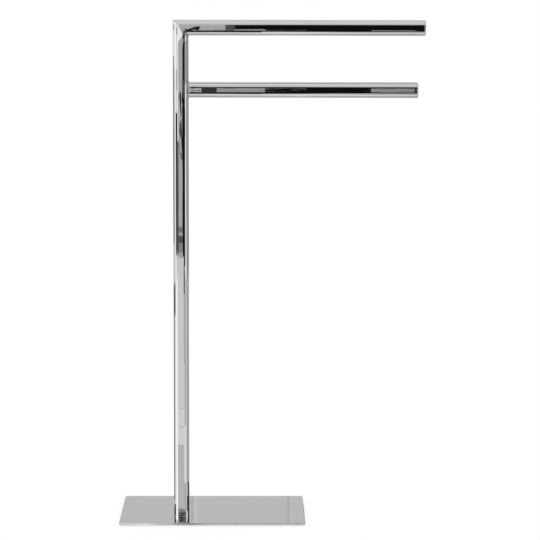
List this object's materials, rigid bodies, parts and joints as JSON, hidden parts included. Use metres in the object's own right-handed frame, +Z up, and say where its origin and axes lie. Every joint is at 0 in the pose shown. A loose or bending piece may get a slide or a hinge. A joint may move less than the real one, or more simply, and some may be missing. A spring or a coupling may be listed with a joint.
{
  "type": "freestanding towel stand",
  "caption": "Free-standing chromed towel stand: an upright of rounded-square tube on a flat floor plate, with fixed horizontal arms to hang towels over.",
  "frame": {"origin": "on the floor, under the middle of the stand's outline seen from above", "axes": "+Z up along the post, +X the way the arms point, -Y the front, where the post stands at the plate's edge"},
  "size_m": [0.4864, 0.2, 0.81],
  "materials": {
    "chromed_steel": "bright chrome plate on polished steel",
    "chromed_cap": "bright chrome plate on a moulded cap",
    "bare_steel": "sawn and machined mild steel",
    "zinc_screw": "bright zinc plate",
    "pad_rubber": "die-cut matt rubber"
  },
  "bodies": {
    "root": {"base_plate": "chromed_steel", "post_tube": "chromed_steel", "upper_arm_tube": "chromed_steel", "lower_arm_tube": "chromed_steel", "lower_arm_weld": "chromed_steel", "mitre_weld": "chromed_steel", "upper_arm_end_cap": "chromed_cap", "lower_arm_end_cap": "chromed_cap", "post_foot_plug": "bare_steel", "base_screw_1": "zinc_screw", "base_screw_2": "zinc_screw", "anti_slip_pad_1": "pad_rubber", "anti_slip_pad_2": "pad_rubber", "anti_slip_pad_3": "pad_rubber", "anti_slip_pad_4": "pad_rubber"}
  },
  "joints": []
}
